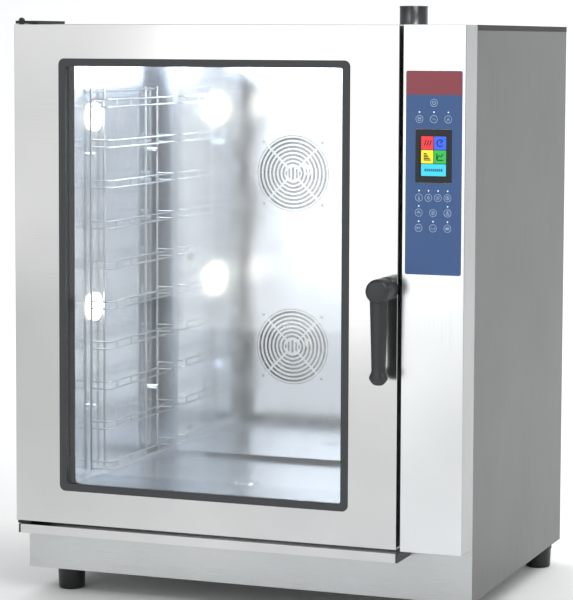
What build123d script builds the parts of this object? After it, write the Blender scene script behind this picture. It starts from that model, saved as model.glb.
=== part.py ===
from build123d import *
import os
from math import cos, sin, radians

# Combi steamer oven for ten levels of 530 x 325 trays: a glazed door on the left, a control column
# on the right, a cooking chamber with two fans behind a slotted baffle, and four levelling feet.
# Millimetres. +X is right seen from the front, +Y is towards the back, +Z is up.
# The origin is on the floor, under the centre of the oven's overall width and depth.

# ---- driving dimensions -------------------------------------------------------------------
CAB_W = 936.0            # cabinet width
CAB_D = 672.0            # cabinet depth, front frame to rear panel
CAB_H = 1100.0           # cabinet height without its feet
FOOT_H = 50.0            # floor to the cabinet's lower edge
PROUD = 72.0             # door and control column stand this far in front of the cabinet
HANDLE_OUT = 62.0        # door handle in front of the door
REAR_OUT = 22.0          # pipe ends behind the rear panel
SHEET = 1.5              # outer sheet metal
LINER = 1.2              # chamber sheet metal
GAP = 0.5                # assembly gap between folded sheets

DOOR_W, DOOR_H = 800.0, 990.0
DOOR_T = 66.0            # leaves 6 mm for the chamber gasket
DOOR_GAP = 8.0           # door edge to control column
CAV_W, CAV_D, CAV_H = 624.0, 520.0, 864.0
CAV_R = 20.0             # coved corners of the chamber
CAV_FLOOR = 172.0        # chamber floor above the cabinet's lower edge
WALL_INSULATION = 36.0
BAFFLE_W, BAFFLE_H = 530.0, 846.0
BAFFLE_BEHIND = 433.0    # baffle's front face behind the chamber mouth
FAN_PITCH = 369.0        # between the two fan centres
FAN_R = 95.0
SEAL_W, SEAL_H, SEAL_R = 606.0, 857.0, 12.0
SEAL_BAND = 15.0         # width of the rubber round the window
LEVELS, LEVEL_PITCH = 10, 82.0
LOWEST_LEVEL = 24.0      # lowest runner above the chamber floor
RUNNER_REACH = 42.0      # runners reach this far in from their posts
POST_R, WIRE_R, WIRE_RISE = 4.0, 2.5, 14.5
RACK_FRONT, RACK_BACK = 78.0, 411.0      # first and last post, behind the chamber mouth
COLUMN_W, COLUMN_H = 121.0, 993.0
OVERLAY_W, OVERLAY_H, OVERLAY_T = 109.0, 380.0, 0.8
KEY_R, KEY_HOLE_R, KEY_TRAVEL = 8.0, 8.3, 0.5
HANDLE_R = 23.0
VENT_R = 30.0
DRAIN_R, DRAIN_BEND_R = 20.0, 34.0

# ---- places worked out from them ----------------------------------------------------------
Y_HANDLE = -(HANDLE_OUT + PROUD + CAB_D + REAR_OUT) / 2
Y_DOOR = Y_HANDLE + HANDLE_OUT
Y_FRONT = Y_DOOR + PROUD
Y_BACK = Y_FRONT + CAB_D
Y_REAR = Y_BACK + REAR_OUT
X_LEFT, X_RIGHT = -CAB_W / 2, CAB_W / 2
Z_BASE = FOOT_H
Z_ROOF = FOOT_H + CAB_H
X_COLUMN = X_RIGHT - COLUMN_W
X_DOOR1 = X_COLUMN - DOOR_GAP
X_DOOR0 = X_DOOR1 - DOOR_W
Z_DOOR1 = Z_ROOF - 1.0
Z_DOOR0 = Z_DOOR1 - DOOR_H
X_MID = (X_DOOR0 + X_DOOR1) / 2          # door, window and chamber share this centre line
Z_MID = (Z_DOOR0 + Z_DOOR1) / 2
Y_DOOR_IN = Y_DOOR + DOOR_T
X_CAV0, X_CAV1 = X_MID - CAV_W / 2, X_MID + CAV_W / 2
Y_CAV1 = Y_FRONT + CAV_D
Z_CAV0 = Z_BASE + CAV_FLOOR
Z_CAV1 = Z_CAV0 + CAV_H
Z_CAV = (Z_CAV0 + Z_CAV1) / 2
Y_BAFFLE = Y_FRONT + BAFFLE_BEHIND
FAN_Z = {"upper": Z_CAV + FAN_PITCH / 2, "lower": Z_CAV - FAN_PITCH / 2}
PIN_X, PIN_Y, PIN_R = X_DOOR0 + 10.0, Y_DOOR + 14.0, 5.0
HANDLE_X, HANDLE_Z = X_DOOR1 - 21.5, Z_MID + 1.0
VENT_X, VENT_Y, VENT_TOP = X_MID + 250.0, Y_CAV1 - 40.0, Z_ROOF + 42.0
DRAIN_Y, DRAIN_Z = Y_FRONT + 168.0, Z_BASE + 62.0
TRAY_Z0, TRAY_Z1 = Z_DOOR0 - 25.0, Z_DOOR0 - 7.0
TRAY_X0, TRAY_X1 = X_DOOR0 + 5.0, X_DOOR1 + 3.0
KEY_X = (X_COLUMN + X_RIGHT) / 2 - 0.5
OVERLAY_TOP = Z_ROOF - 85.5
FEET = {
    "front_left": (X_LEFT + 66.0, Y_FRONT + 60.0),
    "front_right": (X_RIGHT - 33.0, Y_FRONT + 60.0),
    "rear_left": (X_LEFT + 66.0, Y_BACK - 60.0),
    "rear_right": (X_RIGHT - 33.0, Y_BACK - 60.0),
}
LAMPS = [Z_CAV + 309.0, Z_CAV - 79.0]    # heights of the two chamber lamps
LAMP_Y, LAMP_R = Y_FRONT + 110.0, 24.0
# each key: name, offset from the overlay's centre line, height below the overlay's top
KEY_SIDE, KEY_NEAR = 28.0, 9.25
KEYS = [("key_power", 0.0, 59.3)]
THREE_KEYS = (("left", -KEY_SIDE), ("middle", 0), ("right", KEY_SIDE))
KEYS += [(f"key_upper_{n}", x, 89.5) for n, x in THREE_KEYS]
KEYS += [(f"key_row_one_{i + 1}", KEY_NEAR * (2 * i - 3), 235.7) for i in range(4)]
KEYS += [(f"key_row_two_{n}", x, 263.9) for n, x in THREE_KEYS]
KEYS += [(f"key_row_three_{n}", x, 292.5) for n, x in THREE_KEYS]
SCREEN_BELOW = 158.2                      # display centre below the overlay's top
BEZEL_W, BEZEL_H = 70.0, 99.5
SCREEN_W, SCREEN_H = 53.0, 76.0

os.makedirs("parts", exist_ok=True)


# ---- helpers ------------------------------------------------------------------------------
def block(x0, x1, y0, y1, z0, z1):
    """A box between two corners."""
    return Pos((x0 + x1) / 2, (y0 + y1) / 2, (z0 + z1) / 2) * Box(x1 - x0, y1 - y0, z1 - z0)


def rod_x(y, z, x0, x1, r):
    return Pos((x0 + x1) / 2, y, z) * Rot(0, 90, 0) * Cylinder(r, x1 - x0)


def rod_y(x, z, y0, y1, r):
    return Pos(x, (y0 + y1) / 2, z) * Rot(90, 0, 0) * Cylinder(r, y1 - y0)


def rod_z(x, y, z0, z1, r):
    return Pos(x, y, (z0 + z1) / 2) * Cylinder(r, z1 - z0)


def slab(outline, x, z, y0, y1):
    """An outline drawn in X and Z, as thick as y0 to y1."""
    face = Plane(origin=(x, y1, z), x_dir=(1, 0, 0), z_dir=(0, -1, 0)) * outline
    return extrude(face, amount=y1 - y0)


def frame(w1, h1, r1, w0, h0, r0, x, z, y0, y1):
    """A rounded rectangular ring, outer size first, as thick as y0 to y1."""
    return slab(RectangleRounded(w1, h1, r1) - RectangleRounded(w0, h0, r0), x, z, y0, y1)


def save(name, *shapes):
    """Writes one node. Several shapes stay separate solids."""
    solids = [s for shape in shapes for s in shape.solids()]
    whole = solids[0] if len(solids) == 1 else Compound(children=solids)
    export_step(whole, os.path.join("parts", name + ".step"))


# ---- cabinet shell ------------------------------------------------------------------------
def front_frame():
    """Front sheet with the chamber's mouth, folded back all round."""
    inset = SHEET + GAP
    sheet = block(X_LEFT, X_RIGHT, Y_FRONT, Y_FRONT + SHEET, Z_BASE, Z_ROOF - 2.0)
    hollow = block(X_LEFT + inset + SHEET, X_RIGHT - inset - SHEET, Y_FRONT, Y_FRONT + 26,
                   Z_BASE + SHEET, Z_ROOF - 2.0 - SHEET)
    folds = block(X_LEFT + inset, X_RIGHT - inset, Y_FRONT + SHEET, Y_FRONT + 24,
                  Z_BASE, Z_ROOF - 2.0) - hollow
    mouth = slab(RectangleRounded(CAV_W + 2 * LINER, CAV_H + 2 * LINER, CAV_R + LINER),
                 X_MID, Z_CAV, Y_FRONT - 1, Y_FRONT + 3)
    wiring = block(KEY_X - 30, KEY_X + 30, Y_FRONT - 1, Y_FRONT + 3, Z_ROOF - 420, Z_ROOF - 220)
    return sheet + folds - mouth - wiring


def side_panel(side):
    """Outer side sheet with a fold at the back for the rear panel's screws."""
    x1 = side * CAB_W / 2
    x0 = x1 - side * SHEET
    top = Z_ROOF - 10.5
    sheet = block(min(x0, x1), max(x0, x1), Y_FRONT + SHEET + GAP, Y_BACK - SHEET, Z_BASE, top)
    fold_x = x0 - side * 18.0
    fold = block(min(x0, fold_x), max(x0, fold_x), Y_BACK - 2 * SHEET, Y_BACK - SHEET, Z_BASE, top)
    return sheet + fold


def base_pan():
    """Bottom pan, with a thick nut plate on it over each foot."""
    z0 = Z_BASE + 12.0
    x1 = X_RIGHT - SHEET - GAP - SHEET - GAP
    y0, y1 = Y_FRONT + 25.0, Y_BACK - 2 * SHEET - GAP
    pan = block(-x1, x1, y0, y1, z0, z0 + 30)
    pan -= block(-x1 + SHEET, x1 - SHEET, y0 + SHEET, y1 - SHEET, z0 + 2.0, z0 + 31)
    plates = []
    for x, y in FEET.values():
        pan -= rod_z(x, y, z0 - 1, z0 + 3, 6.6)
        plate = block(x - 26, x + 26, y - 26, y + 26, z0 + 2.0, z0 + 12.0)
        plates.append(plate - rod_z(x, y, z0, z0 + 13, 6.06))
    return [pan, *plates]


VALVE_X, VALVE_Z, VALVE_R = (X_RIGHT - 110.0, X_RIGHT - 60.0), Z_BASE + 90.0, 13.0
GLAND_X, GLAND_Z, GLAND_R = X_RIGHT - 85.0, Z_BASE + 160.0, 10.0
VENT_SLOT_W, VENT_SLOT_H = 44.0, 5.0


def louvre_slots():
    """Cooling slots: three columns behind the electrics and one behind each fan motor."""
    outline = RectangleRounded(VENT_SLOT_W, VENT_SLOT_H, 2.4)
    places = [(X_RIGHT - 130 + 52 * c, Z_ROOF - 330 + 14 * r) for c in range(3) for r in range(14)]
    for z in FAN_Z.values():
        places += [(X_MID + 56 * c, z - 35 + 14 * r) for c in (-1, 0, 1) for r in range(6)]
    return [slab(outline, x, z, Y_BACK - 3, Y_BACK + 1) for x, z in places]


def rear_panel():
    sheet = block(X_LEFT + 2, X_RIGHT - 2, Y_BACK - SHEET, Y_BACK, Z_BASE + 2, Z_ROOF - 12)
    holes = [rod_y(X_MID, DRAIN_Z, Y_BACK - 3, Y_BACK + 1, DRAIN_R + 0.5)]
    holes += [rod_y(x, VALVE_Z, Y_BACK - 3, Y_BACK + 1, VALVE_R + 0.5) for x in VALVE_X]
    holes += [rod_y(GLAND_X, GLAND_Z, Y_BACK - 3, Y_BACK + 1, GLAND_R + 0.3)]
    return sheet - [*holes, *louvre_slots()]


def roof_panel():
    """Roof sheet, folded down at the back, with the vent's hole."""
    x1 = X_RIGHT - SHEET
    sheet = block(-x1, x1, Y_FRONT, Y_BACK, Z_ROOF - SHEET, Z_ROOF)
    fold = block(-x1, x1, Y_BACK - SHEET, Y_BACK, Z_ROOF - 11, Z_ROOF - SHEET)
    return sheet + fold - rod_z(VENT_X, VENT_Y, Z_ROOF - 3, Z_ROOF + 1, VENT_R + 0.5)


def roof_trims():
    """Dark edge strip along each side of the roof."""
    return [block(a, b, Y_FRONT + SHEET + GAP, Y_BACK, Z_ROOF - 10.5, Z_ROOF)
            for a, b in ((X_LEFT, X_LEFT + SHEET), (X_RIGHT - SHEET, X_RIGHT))]


def panel_screws():
    """Pan-head screws that hold the rear panel."""
    heads = []
    for x in (X_LEFT + 12, X_RIGHT - 12):
        for i in range(6):
            z = Z_BASE + 40 + i * (CAB_H - 100) / 5
            heads.append(rod_y(x, z, Y_BACK, Y_BACK + 2.4, 4.0))
    return heads


# ---- cooking chamber ----------------------------------------------------------------------
def cavity_liner():
    """Chamber welded from flat sheets, coved corner strips, a back sheet and a front flange."""
    y0, y1 = Y_FRONT + SHEET, Y_CAV1
    out_w, out_h, out_r = CAV_W + 2 * LINER, CAV_H + 2 * LINER, CAV_R + LINER
    ring = frame(out_w, out_h, out_r, CAV_W, CAV_H, CAV_R, X_MID, Z_CAV, y0, y1)
    flange = frame(CAV_W + 30, CAV_H + 30, CAV_R + 15, out_w, out_h, out_r, X_MID, Z_CAV, y0, y0 + LINER)
    back = slab(RectangleRounded(out_w, out_h, out_r), X_MID, Z_CAV, y1, y1 + LINER)
    holes = [rod_y(X_MID, z, Y_CAV1 - 5, Y_CAV1 + 5, 14.0) for z in FAN_Z.values()]
    holes += [rod_x(LAMP_Y, z, X_CAV0 - 5, X_CAV0 + 5, LAMP_R - 3) for z in LAMPS]
    holes += [rod_y(x, z, Y_CAV1 - 5, Y_CAV1 + 5, 4.2) for z in FAN_Z.values() for x in HEATER_LEADS]
    holes += [rod_z(VENT_X, VENT_Y, Z_CAV1 - 5, Z_CAV1 + 5, VENT_R - SHEET)]
    holes += [rod_z(X_MID, DRAIN_Y, Z_CAV0 - 5, Z_CAV0 + 5, DRAIN_R)]
    # the ring is cut where the coves begin, and the flange where it changes direction
    xs = (X_CAV0 - 40, X_CAV0 + CAV_R, X_CAV1 - CAV_R, X_CAV1 + 40)
    zs = (Z_CAV0 - 40, Z_CAV0 + CAV_R, Z_CAV1 - CAV_R, Z_CAV1 + 40)
    cells = [block(xs[i], xs[i + 1], y0, y1, zs[j], zs[j + 1]) for i in range(3) for j in range(3)
             if (i, j) != (1, 1)]
    sheets = [(ring & cell) - holes for cell in cells]
    strips = [flange & cell for cell in cells]
    return [*sheets, *strips, back - holes, *rack_studs()]


def insulation_boards():
    """Mineral wool boards on the left, right, top, bottom and back of the chamber."""
    near, far = 2.0, 2.0 + WALL_INSULATION
    y0, y1 = Y_FRONT + 26.0, Y_CAV1
    x0, x1, z0, z1 = X_CAV0, X_CAV1, Z_CAV0, Z_CAV1
    left = block(x0 - far, x0 - near, y0, y1, z0, z1)
    for z in LAMPS:
        left -= rod_x(LAMP_Y, z, x0 - far - 1, x0, LAMP_R + 4)
    right = block(x1 + near, x1 + far, y0, y1, z0, z1)
    top = block(x0 - far, x1 + far, y0, y1, z1 + near, z1 + far)
    top -= rod_z(VENT_X, VENT_Y, z1, z1 + far + 1, VENT_R + 1)
    bottom = block(x0 - far, x1 + far, y0, y1, z0 - far, z0 - near)
    bottom -= rod_z(X_MID, DRAIN_Y, z0 - far - 1, z0, DRAIN_R + 6)
    back = block(x0 - far, x1 + far, y1 + near, y1 + far, z0 - far, z1 + far)
    for z in FAN_Z.values():
        back -= rod_y(X_MID, z, y1, y1 + far + 1, MOTOR_R + 8)
        for x in HEATER_LEADS:
            back -= rod_y(x, z, y1, y1 + far + 1, 8)
    return [left, right, top, bottom, back]


def grille_slots(z):
    """Rings of slots cut by four diagonal bridges, with upright slots in the middle."""
    rings = None
    for i in range(7):
        r = 22.0 + 8.6 * i
        ring = Circle(r + 2.2) - Circle(r - 2.2)
        rings = ring if rings is None else rings + ring
    rings += Circle(80.6) - Circle(79.4)
    bridge = Rectangle(4.4, 200)
    rings -= [Rot(0, 0, 45) * bridge, Rot(0, 0, -45) * bridge]
    for x, w, h in ((0, 5, 27), (-8.5, 4, 20), (8.5, 4, 20), (-15, 3.5, 9), (15, 3.5, 9)):
        rings += Pos(x, 0) * RectangleRounded(w, h, w / 2 - 0.05)
    return slab(rings, X_MID, z, Y_BAFFLE - 1, Y_BAFFLE + SHEET + 1)


POST_X = [X_MID - BAFFLE_W / 2 + 30, X_MID + BAFFLE_W / 2 - 30]
POST_Z = [Z_CAV0 + 60, Z_CAV, Z_CAV1 - 60]
RIVET_OUT = 66.0


def fan_baffle():
    """Polished sheet in front of the fans, folded back at both edges."""
    x0, x1 = X_MID - BAFFLE_W / 2, X_MID + BAFFLE_W / 2
    z0, z1 = Z_CAV - BAFFLE_H / 2, Z_CAV + BAFFLE_H / 2
    sheet = block(x0, x1, Y_BAFFLE, Y_BAFFLE + 16, z0, z1)
    sheet -= block(x0 + SHEET, x1 - SHEET, Y_BAFFLE + SHEET, Y_BAFFLE + 17, z0 - 1, z1 + 1)
    for z in FAN_Z.values():
        sheet -= grille_slots(z)
    return sheet


def baffle_fixings():
    """Six posts from the back wall, the screws in them, and four rivets round each grille."""
    pieces = []
    for x in POST_X:
        for z in POST_Z:
            pieces.append(rod_y(x, z, Y_BAFFLE + SHEET, Y_CAV1, 7.0))
            pieces.append(rod_y(x, z, Y_BAFFLE - 4.0, Y_BAFFLE, 7.5))
    for fan in FAN_Z.values():
        for sx in (-1, 1):
            for sz in (-1, 1):
                x, z = X_MID + sx * RIVET_OUT, fan + sz * RIVET_OUT
                pieces.append(rod_y(x, z, Y_BAFFLE - 1.2, Y_BAFFLE, 3.2))
    return pieces


MOTOR_R = 52.0
SHAFT_R = 8.0
HEATER_LEADS = [X_MID - 138.0, X_MID - 118.0]


def fan_motors():
    """Motor on the outside of the chamber's back wall: flange, can and terminal box in one."""
    motors = []
    for z in FAN_Z.values():
        y0 = Y_CAV1 + LINER
        body = rod_y(X_MID, z, y0, y0 + 4, MOTOR_R + 6)
        body += rod_y(X_MID, z, y0 + 4, y0 + 96, MOTOR_R)
        body += block(X_MID - 28, X_MID + 28, y0 + 44, y0 + 92, z + MOTOR_R - 8, z + MOTOR_R + 22)
        motors.append(body - rod_y(X_MID, z, y0 - 1, y0 + 70, SHAFT_R + 0.06))
    return motors


def fan_wheel(z):
    """Welded radial wheel on its shaft, held by a nut."""
    y1 = Y_CAV1 - 22.0
    y0 = y1 - 44.0
    wheel = rod_y(X_MID, z, y1 - 2, y1, FAN_R) + rod_y(X_MID, z, y0 + 14, y1 - 2, 17.0)
    ring = rod_y(X_MID, z, y0, y0 + 2, FAN_R) - rod_y(X_MID, z, y0 - 1, y0 + 3, FAN_R - 22)
    blade = Pos(FAN_R - 13, 0, 0) * Rot(0, 25, 0) * Box(24, y1 - y0 - 3.8, 1.6)
    turn = Pos(X_MID, (y0 + y1) / 2, z)
    blades = [turn * Rot(0, 360 / 24 * i, 0) * blade for i in range(24)]
    wheel = wheel + ring + blades - rod_y(X_MID, z, y0 - 1, y1 + 1, SHAFT_R)
    shaft = rod_y(X_MID, z, y0 + 6, Y_CAV1 + LINER + 68, SHAFT_R)
    nut = slab(RegularPolygon(13, 6) - Circle(SHAFT_R), X_MID, z, y0 + 6, y0 + 13.9)
    return [wheel, shaft, nut]


def heater_rings():
    """Tubular heater of three turns round each fan, with its two leads through the back wall."""
    heaters = []
    for z in FAN_Z.values():
        whole = None
        for i in range(3):
            turn = Pos(X_MID, Y_CAV1 - 62 + 18 * i, z) * Rot(90, 0, 0) * Torus(128.0, 4.0)
            whole = turn if whole is None else whole + turn
        whole += block(HEATER_LEADS[0] - 5, HEATER_LEADS[1] + 5, Y_CAV1 - 68, Y_CAV1 - 20, z - 4, z + 4)
        for x in HEATER_LEADS:
            whole += rod_y(x, z, Y_CAV1 - 22, Y_CAV1 + 52, 4.0)
        heaters.append(whole)
    return heaters


def tray_rack(side):
    """Wire rack: four posts with a bar by the wall and, on each level, two bent wires with ties."""
    wall = X_CAV0 if side < 0 else X_CAV1
    inward = -side
    post_x = wall + inward * 8.0
    start_x = post_x + inward * POST_R
    run_x = post_x + inward * RUNNER_REACH
    posts_y = [Y_FRONT + y for y in (RACK_FRONT, RACK_FRONT + 63.0, RACK_BACK - 61.0, RACK_BACK)]
    y0, y1 = posts_y[0], posts_y[-1]
    z_first = Z_CAV0 + LOWEST_LEVEL
    z_top = z_first + LEVEL_PITCH * (LEVELS - 1) + 36.0
    posts = [rod_z(post_x, y, z_first - 4, z_top, POST_R) for y in posts_y]
    back_frame = posts[0] + posts[1:] + rod_y(post_x, z_top - 6, y0, y1, 3.0)
    levels = []
    for level in range(LEVELS):
        z = z_first + LEVEL_PITCH * level
        ties = [rod_z(run_x, y0 + 33.0 + 70.0 * i, z, z + WIRE_RISE, 1.8) for i in range(5)]
        wires = []
        for dz in (0.0, WIRE_RISE):
            bend = FilletPolyline((start_x, y0, z + dz), (run_x, y0, z + dz), (run_x, y1, z + dz),
                                  (start_x, y1, z + dz), radius=12.0)
            wires.append(sweep(Plane(bend @ 0, z_dir=bend % 0) * Circle(WIRE_R), path=bend))
        levels.append(wires[0] + [wires[1], *ties])
    return [back_frame, *levels]


def rack_studs():
    """Studs welded to the chamber walls, which the racks hang on."""
    studs = []
    for wall, inward in ((X_CAV0, 1), (X_CAV1, -1)):
        for y in (Y_FRONT + RACK_FRONT + 9.0, Y_FRONT + RACK_BACK - 9.0):
            for z in (Z_CAV0 + 150, Z_CAV1 - 200):
                a, b = sorted((wall, wall + inward * 14))
                studs.append(rod_x(y, z, a, b, 5.0))
    return studs


def lamp_lenses():
    """Two round lamps in the left wall: a domed lens in a steel ring."""
    lamps = []
    for z in LAMPS:
        ring = rod_x(LAMP_Y, z, X_CAV0, X_CAV0 + 5, LAMP_R + 4)
        ring -= rod_x(LAMP_Y, z, X_CAV0 - 1, X_CAV0 + 6, LAMP_R)
        lens = rod_x(LAMP_Y, z, X_CAV0, X_CAV0 + 7, LAMP_R)
        body = rod_x(LAMP_Y, z, X_CAV0 - 34, X_CAV0, LAMP_R - 3)
        lamps += [ring, fillet(lens.faces().sort_by(Axis.X)[-1].edges(), 4.0), body]
    return lamps


def drain_bend(r):
    """A solid of the drain's course, r thick: down, round a quarter bend and straight to the back."""
    y, z = DRAIN_Y + DRAIN_BEND_R, DRAIN_Z + DRAIN_BEND_R
    quarter = block(X_MID - 50, X_MID + 50, y - 100, y, z - 100, z)
    bend = (Pos(X_MID, y, z) * Rot(0, 90, 0) * Torus(DRAIN_BEND_R, r)) & quarter
    return bend + rod_z(X_MID, DRAIN_Y, z, Z_CAV0 - LINER, r) + rod_y(X_MID, DRAIN_Z, y, Y_REAR, r)


def drain_pipe():
    """Floor strainer and the pipe from it to the back."""
    pipe = drain_bend(DRAIN_R) - drain_bend(DRAIN_R - 1.5)
    strainer = rod_z(X_MID, DRAIN_Y, Z_CAV0, Z_CAV0 + 2.0, DRAIN_R + 6)
    for i in range(8):
        a = radians(45 * i)
        strainer -= rod_z(X_MID + 13 * cos(a), DRAIN_Y + 13 * sin(a), Z_CAV0 - 1, Z_CAV0 + 3, 3.0)
    return [pipe, strainer]


def vent_pipe():
    z0 = Z_CAV1 + LINER
    outside = rod_z(VENT_X, VENT_Y, z0, VENT_TOP, VENT_R)
    return outside - rod_z(VENT_X, VENT_Y, z0 - 1, VENT_TOP + 1, VENT_R - SHEET)


# ---- front of the cabinet -----------------------------------------------------------------
def door_gasket():
    """Silicone seal round the chamber's mouth."""
    return frame(CAV_W + 32, CAV_H + 32, CAV_R + 16, CAV_W + 6, CAV_H + 6, CAV_R + 3,
                 X_MID, Z_CAV, Y_DOOR_IN + 0.3, Y_FRONT)


def drip_tray():
    """Gutter under the door that catches condensate."""
    outside = block(TRAY_X0 + 4, TRAY_X1 - 4, Y_DOOR, Y_FRONT, TRAY_Z0, TRAY_Z1)
    inside = block(TRAY_X0, TRAY_X1, Y_DOOR + SHEET, Y_FRONT - SHEET, TRAY_Z0 + SHEET, TRAY_Z1 + 1)
    return outside - inside


def drip_tray_caps():
    return [block(x, x + 4, Y_DOOR, Y_FRONT, TRAY_Z0, TRAY_Z1) for x in (TRAY_X0, TRAY_X1 - 4)]


def hinge_brackets():
    """Top and bottom brackets on the cabinet, each with the pin that the door turns on."""
    top = block(PIN_X - 9, PIN_X + 37, PIN_Y - 9, Y_FRONT + 60, Z_ROOF, Z_ROOF + 6)
    top_pin = rod_z(PIN_X, PIN_Y, Z_DOOR1 - 34, Z_ROOF, PIN_R)
    dome = Pos(PIN_X, PIN_Y, Z_ROOF + 6) * (Sphere(6.5) & Pos(0, 0, 5) * Box(14, 14, 10))
    z0 = TRAY_Z1 + 0.5
    bottom = block(PIN_X - 9, PIN_X + 19, PIN_Y - 9, Y_FRONT, z0, z0 + 5.5)
    bottom += block(PIN_X - 9, PIN_X + 19, Y_FRONT - 3, Y_FRONT, z0, z0 + 44)
    bottom_pin = rod_z(PIN_X, PIN_Y, z0 + 5.5, Z_DOOR0 + 34, PIN_R)
    return [top, top_pin, dome, bottom, bottom_pin]


KEEPER_X, KEEPER_Z = X_DOOR1 - 19.0, HANDLE_Z - 28.0


def latch_keeper():
    plate = block(KEEPER_X - 14, KEEPER_X + 14, Y_FRONT - 3, Y_FRONT, KEEPER_Z - 24, KEEPER_Z + 24)
    return plate + rod_y(KEEPER_X, KEEPER_Z, Y_FRONT - 32, Y_FRONT - 3, 5.0)


# ---- control column -----------------------------------------------------------------------
def key_places():
    return [(name, KEY_X + x, OVERLAY_TOP - down) for name, x, down in KEYS]


def control_column():
    z0 = Z_ROOF - COLUMN_H
    cover = block(X_COLUMN, X_RIGHT, Y_DOOR, Y_FRONT, z0, Z_ROOF)
    cover -= block(X_COLUMN + SHEET, X_RIGHT - SHEET, Y_DOOR + SHEET, Y_FRONT + 1,
                   z0 + SHEET, Z_ROOF - SHEET)
    cover -= [rod_y(x, z, Y_DOOR - 1, Y_DOOR + 3, KEY_HOLE_R + 0.2) for _, x, z in key_places()]
    screen_z = OVERLAY_TOP - SCREEN_BELOW
    return cover - slab(Rectangle(SCREEN_W + 8, SCREEN_H + 8), KEY_X, screen_z, Y_DOOR - 1, Y_DOOR + 3)


def control_overlay():
    """Printed foil with holes for the keys and the display."""
    z = OVERLAY_TOP - OVERLAY_H / 2
    foil = slab(RectangleRounded(OVERLAY_W, OVERLAY_H, 4), KEY_X, z, Y_DOOR - OVERLAY_T, Y_DOOR)
    foil -= [rod_y(x, kz, Y_DOOR - 2, Y_DOOR + 1, KEY_HOLE_R) for _, x, kz in key_places()]
    screen_z = OVERLAY_TOP - SCREEN_BELOW
    window = RectangleRounded(BEZEL_W + 0.4, BEZEL_H + 0.4, 2.2)
    return foil - slab(window, KEY_X, screen_z, Y_DOOR - 2, Y_DOOR + 1)


def display_bezel():
    return frame(BEZEL_W, BEZEL_H, 2.0, SCREEN_W + 0.4, SCREEN_H + 0.4, 0.5,
                 KEY_X, OVERLAY_TOP - SCREEN_BELOW, Y_DOOR - 1.6, Y_DOOR)


def display_screen():
    z = OVERLAY_TOP - SCREEN_BELOW
    panel = slab(RectangleRounded(SCREEN_W, SCREEN_H, 0.4), KEY_X, z, Y_DOOR - 0.6, Y_DOOR + 3)
    return panel + slab(Rectangle(SCREEN_W + 6, SCREEN_H + 6), KEY_X, z, Y_DOOR + 1.6, Y_DOOR + 6)


BOARD_Y = Y_DOOR + 9.0


def key(x, z):
    """A membrane key's disc with the plunger behind it."""
    disc = rod_y(x, z, Y_DOOR - OVERLAY_T - 0.3, Y_DOOR + 1.2, KEY_R)
    disc = chamfer(disc.faces().sort_by(Axis.Y)[0].edges(), 0.3)
    return disc + rod_y(x, z, Y_DOOR + 1.2, BOARD_Y - 3.0 - KEY_TRAVEL - 0.1, 3.0)


def control_boards():
    """Key board with a switch behind each key, and the power board with its relays."""
    z = OVERLAY_TOP - OVERLAY_H / 2
    board = slab(Rectangle(COLUMN_W - 14, OVERLAY_H), KEY_X, z, BOARD_Y, BOARD_Y + 1.6)
    pieces = [board]
    for _, x, kz in key_places():
        pieces.append(block(x - 3, x + 3, BOARD_Y - 3.0, BOARD_Y, kz - 3, kz + 3))
    x0 = X_RIGHT - 40
    pieces.append(block(x0, x0 + 1.6, Y_FRONT + 80, Y_FRONT + 380, Z_BASE + 300, Z_BASE + 760))
    for i in range(4):
        y = Y_FRONT + 100 + 66 * i
        pieces.append(block(x0 - 62, x0, y, y + 46, Z_BASE + 640, Z_BASE + 720))
        pieces.append(block(x0 - 24, x0, y, y + 40, Z_BASE + 480, Z_BASE + 520))
    pieces.append(block(x0 - 70, x0, Y_FRONT + 120, Y_FRONT + 200, Z_BASE + 330, Z_BASE + 420))
    return pieces


def water_valves():
    """Two solenoid valves whose threaded inlets come out at the back."""
    valves = []
    for x in VALVE_X:
        body = block(x - 16, x + 16, Y_BACK - 62, Y_BACK - 12, VALVE_Z - 16, VALVE_Z + 16)
        body += rod_z(x, Y_BACK - 37, VALVE_Z + 16, VALVE_Z + 50, 14.0)
        body += rod_y(x, VALVE_Z, Y_BACK - 12, Y_REAR, VALVE_R)
        valves.append(body - rod_y(x, VALVE_Z, Y_BACK - 40, Y_REAR + 1, VALVE_R - 4))
    return valves


def cable_gland():
    body = rod_y(GLAND_X, GLAND_Z, Y_BACK - 10, Y_BACK + 6, GLAND_R)
    body += slab(RegularPolygon(15, 6), GLAND_X, GLAND_Z, Y_BACK, Y_BACK + 6)
    body += rod_y(GLAND_X, GLAND_Z, Y_BACK + 6, Y_BACK + 20, 12.0)
    return body - rod_y(GLAND_X, GLAND_Z, Y_BACK - 11, Y_BACK + 21, 6.0)


# ---- door ---------------------------------------------------------------------------------
def door_skin():
    """Outer door sheet, folded back on four sides, with the window and handle holes."""
    y1 = Y_DOOR_IN - SHEET - GAP
    skin = block(X_DOOR0, X_DOOR1, Y_DOOR, y1, Z_DOOR0, Z_DOOR1)
    skin -= block(X_DOOR0 + SHEET, X_DOOR1 - SHEET, Y_DOOR + SHEET, y1 + 1, Z_DOOR0 + SHEET, Z_DOOR1 - SHEET)
    window = RectangleRounded(SEAL_W - 10, SEAL_H - 10, SEAL_R - 3)
    skin -= slab(window, X_MID, Z_MID, Y_DOOR - 1, Y_DOOR + 3)
    skin -= rod_y(HANDLE_X, HANDLE_Z, Y_DOOR - 1, Y_DOOR + 3, 11.3)
    return skin - rod_z(PIN_X, PIN_Y, Z_DOOR0 - 1, Z_DOOR1 + 1, PIN_R + 0.3)


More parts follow.
